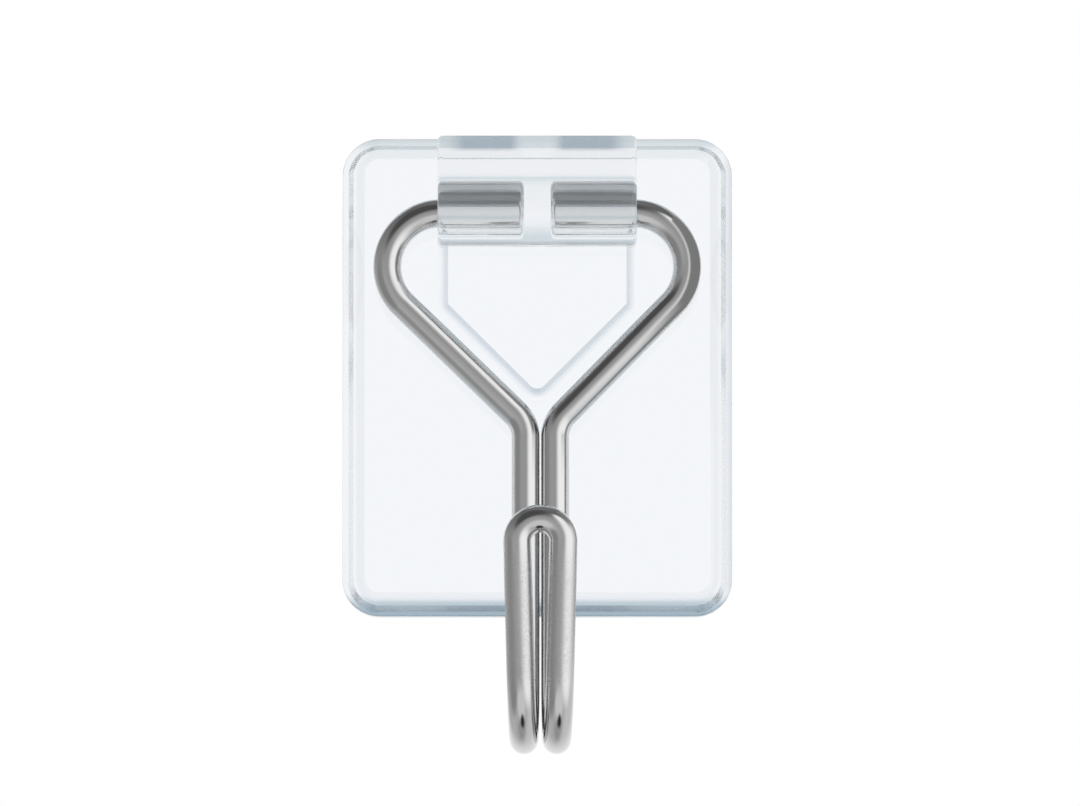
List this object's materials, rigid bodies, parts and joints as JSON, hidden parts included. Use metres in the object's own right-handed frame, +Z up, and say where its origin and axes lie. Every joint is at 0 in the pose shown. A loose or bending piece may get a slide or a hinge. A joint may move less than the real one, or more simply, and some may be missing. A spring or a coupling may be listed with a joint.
{
  "type": "adhesive hook",
  "caption": "Small clear wall hook: a bevelled plate on an adhesive pad, with a housing in which a bent wire hook swings.",
  "frame": {"origin": "centre of the adhesive pad's wall side", "axes": "+Z up along the hook, +Y into the wall, +X to the right seen from the front"},
  "size_m": [0.025, 0.0136, 0.0402],
  "materials": {
    "clear_plastic": "clear, polished",
    "clear_adhesive": "clear, soft",
    "bright_wire": "polished plating"
  },
  "bodies": {
    "mounting": {"base": "clear_plastic", "adhesive_pad": "clear_adhesive"},
    "hook": {"wire_hook": "bright_wire"}
  },
  "joints": [
    {"name": "hook_swing", "type": "hinge", "parent": "mounting", "child": "hook", "pos_m": [0, -0.00435, 0.0103], "axis": [-1, 0, 0], "range_deg": [0, 160]}
  ]
}
